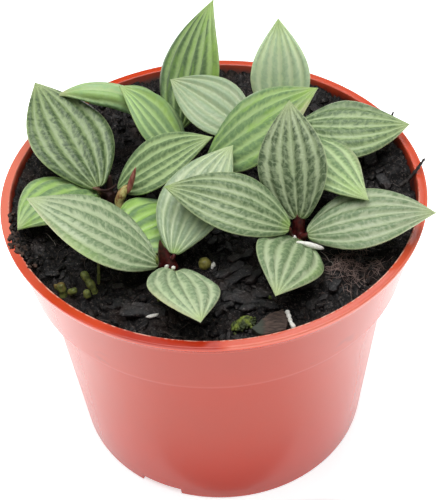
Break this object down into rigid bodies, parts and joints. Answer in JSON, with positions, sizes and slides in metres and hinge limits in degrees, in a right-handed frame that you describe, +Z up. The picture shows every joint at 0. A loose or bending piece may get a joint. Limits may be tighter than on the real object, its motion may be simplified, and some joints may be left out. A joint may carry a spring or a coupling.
{
  "type": "potted peperomia",
  "caption": "Low house plant with striped, pointed oval leaves on short maroon stems, growing in potting mix in a round plastic nursery pot with a collar and a rolled lip.",
  "frame": {"origin": "middle of the pot's foot, on the surface that the pot stands on", "axes": "+Z up, along the pot's axis; -Y towards the front of the plant, the side that the picture shows; +X to the right seen from the front"},
  "size_m": [0.12, 0.12, 0.1194],
  "materials": {
    "terracotta_plastic": "terracotta-coloured moulded plastic with a soft satin gloss",
    "potting_mix": "moist, nearly black, crumbly peat and bark",
    "maroon_stem": "smooth, slightly waxy dark maroon skin",
    "young_stem": "smooth olive skin that turns red towards the point",
    "striped_leaf": "thick waxy leaf, pale sage stripes along the veins over dark green",
    "young_leaf": "thick waxy young leaf, yellow-green stripes over grey-green",
    "bead_resin": "smooth resin-coated bead, olive brown",
    "perlite": "matte chalky white",
    "bark": "rough weathered bark, grey brown",
    "olive_sprout": "soft olive-green buds"
  },
  "bodies": {
    "root": {"pot": "terracotta_plastic", "soil": "potting_mix", "shoot_front": "maroon_stem", "shoot_right": "maroon_stem", "shoot_left": "maroon_stem", "shoot_back_left": "maroon_stem", "shoot_middle": "maroon_stem", "shoot_back_right": "maroon_stem", "young_shoot": "young_stem", "leaf_front_left": "striped_leaf", "leaf_front_back": "striped_leaf", "leaf_front_low": "striped_leaf", "leaf_young_low": "young_leaf", "leaf_right_left": "striped_leaf", "leaf_right_upright": "striped_leaf", "leaf_right_out": "striped_leaf", "leaf_right_low": "striped_leaf", "leaf_left_upright": "striped_leaf", "leaf_left_hooked": "striped_leaf", "leaf_left_in": "striped_leaf", "leaf_middle_curled": "young_leaf", "leaf_back_arched": "striped_leaf", "leaf_back_tall": "young_leaf", "leaf_middle_large": "young_leaf", "leaf_back_right_upright": "striped_leaf", "leaf_back_right_out": "striped_leaf", "leaf_back_right_front": "young_leaf", "leaf_back_right_left": "striped_leaf", "fertiliser_bead": "bead_resin", "perlite_by_bead": "perlite", "perlite_front": "perlite", "white_sliver": "perlite", "white_stick": "perlite", "bark_chip": "bark", "sprouts_left": "olive_sprout", "sprouts_far_left": "olive_sprout", "twig": "bark"}
  },
  "joints": []
}
